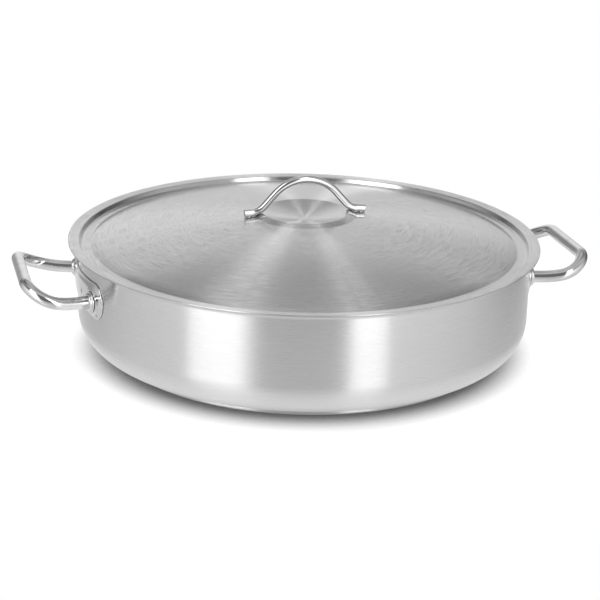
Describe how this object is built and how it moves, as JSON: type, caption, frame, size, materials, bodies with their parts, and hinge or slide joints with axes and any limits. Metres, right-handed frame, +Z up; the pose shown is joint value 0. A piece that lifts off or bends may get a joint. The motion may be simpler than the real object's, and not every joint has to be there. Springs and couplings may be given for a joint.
{
  "type": "cooking pot",
  "caption": "Shallow round steel cooking pot with straight wall, flared rim, sandwich base, tube side handles on stamped plates and a domed lift-off lid with an arched rod handle.",
  "frame": {"origin": "centre of the base's underside, on the pot's axis", "axes": "+Z up along the pot's axis; X runs through both side handles and along the lid handle, +X to the picture's right"},
  "size_m": [0.6372, 0.5202, 0.1936],
  "materials": {
    "brushed_sheet": "satin brushed stainless sheet",
    "polished_steel": "mirror polished stainless steel",
    "weld_steel": "ground weld",
    "aluminium_core": "plain rolled"
  },
  "bodies": {
    "pot": {"pot_shell": "brushed_sheet", "base_core": "aluminium_core", "base_cap": "brushed_sheet", "right_handle_plate": "polished_steel", "right_handle_tube": "polished_steel", "right_front_collar": "polished_steel", "right_rear_collar": "polished_steel", "right_front_waist_weld": "weld_steel", "right_front_lobe_weld": "weld_steel", "right_rear_waist_weld": "weld_steel", "right_rear_lobe_weld": "weld_steel", "left_handle_plate": "polished_steel", "left_handle_tube": "polished_steel", "left_front_collar": "polished_steel", "left_rear_collar": "polished_steel", "left_front_waist_weld": "weld_steel", "left_front_lobe_weld": "weld_steel", "left_rear_waist_weld": "weld_steel", "left_rear_lobe_weld": "weld_steel"},
    "lid": {"lid_shell": "brushed_sheet", "lid_handle": "polished_steel", "lid_handle_left_weld": "weld_steel", "lid_handle_right_weld": "weld_steel"}
  },
  "joints": [
    {"name": "lid_lift", "type": "slide", "parent": "pot", "child": "lid", "axis": [0, 0, 1], "range_m": [0, 0.2]}
  ]
}
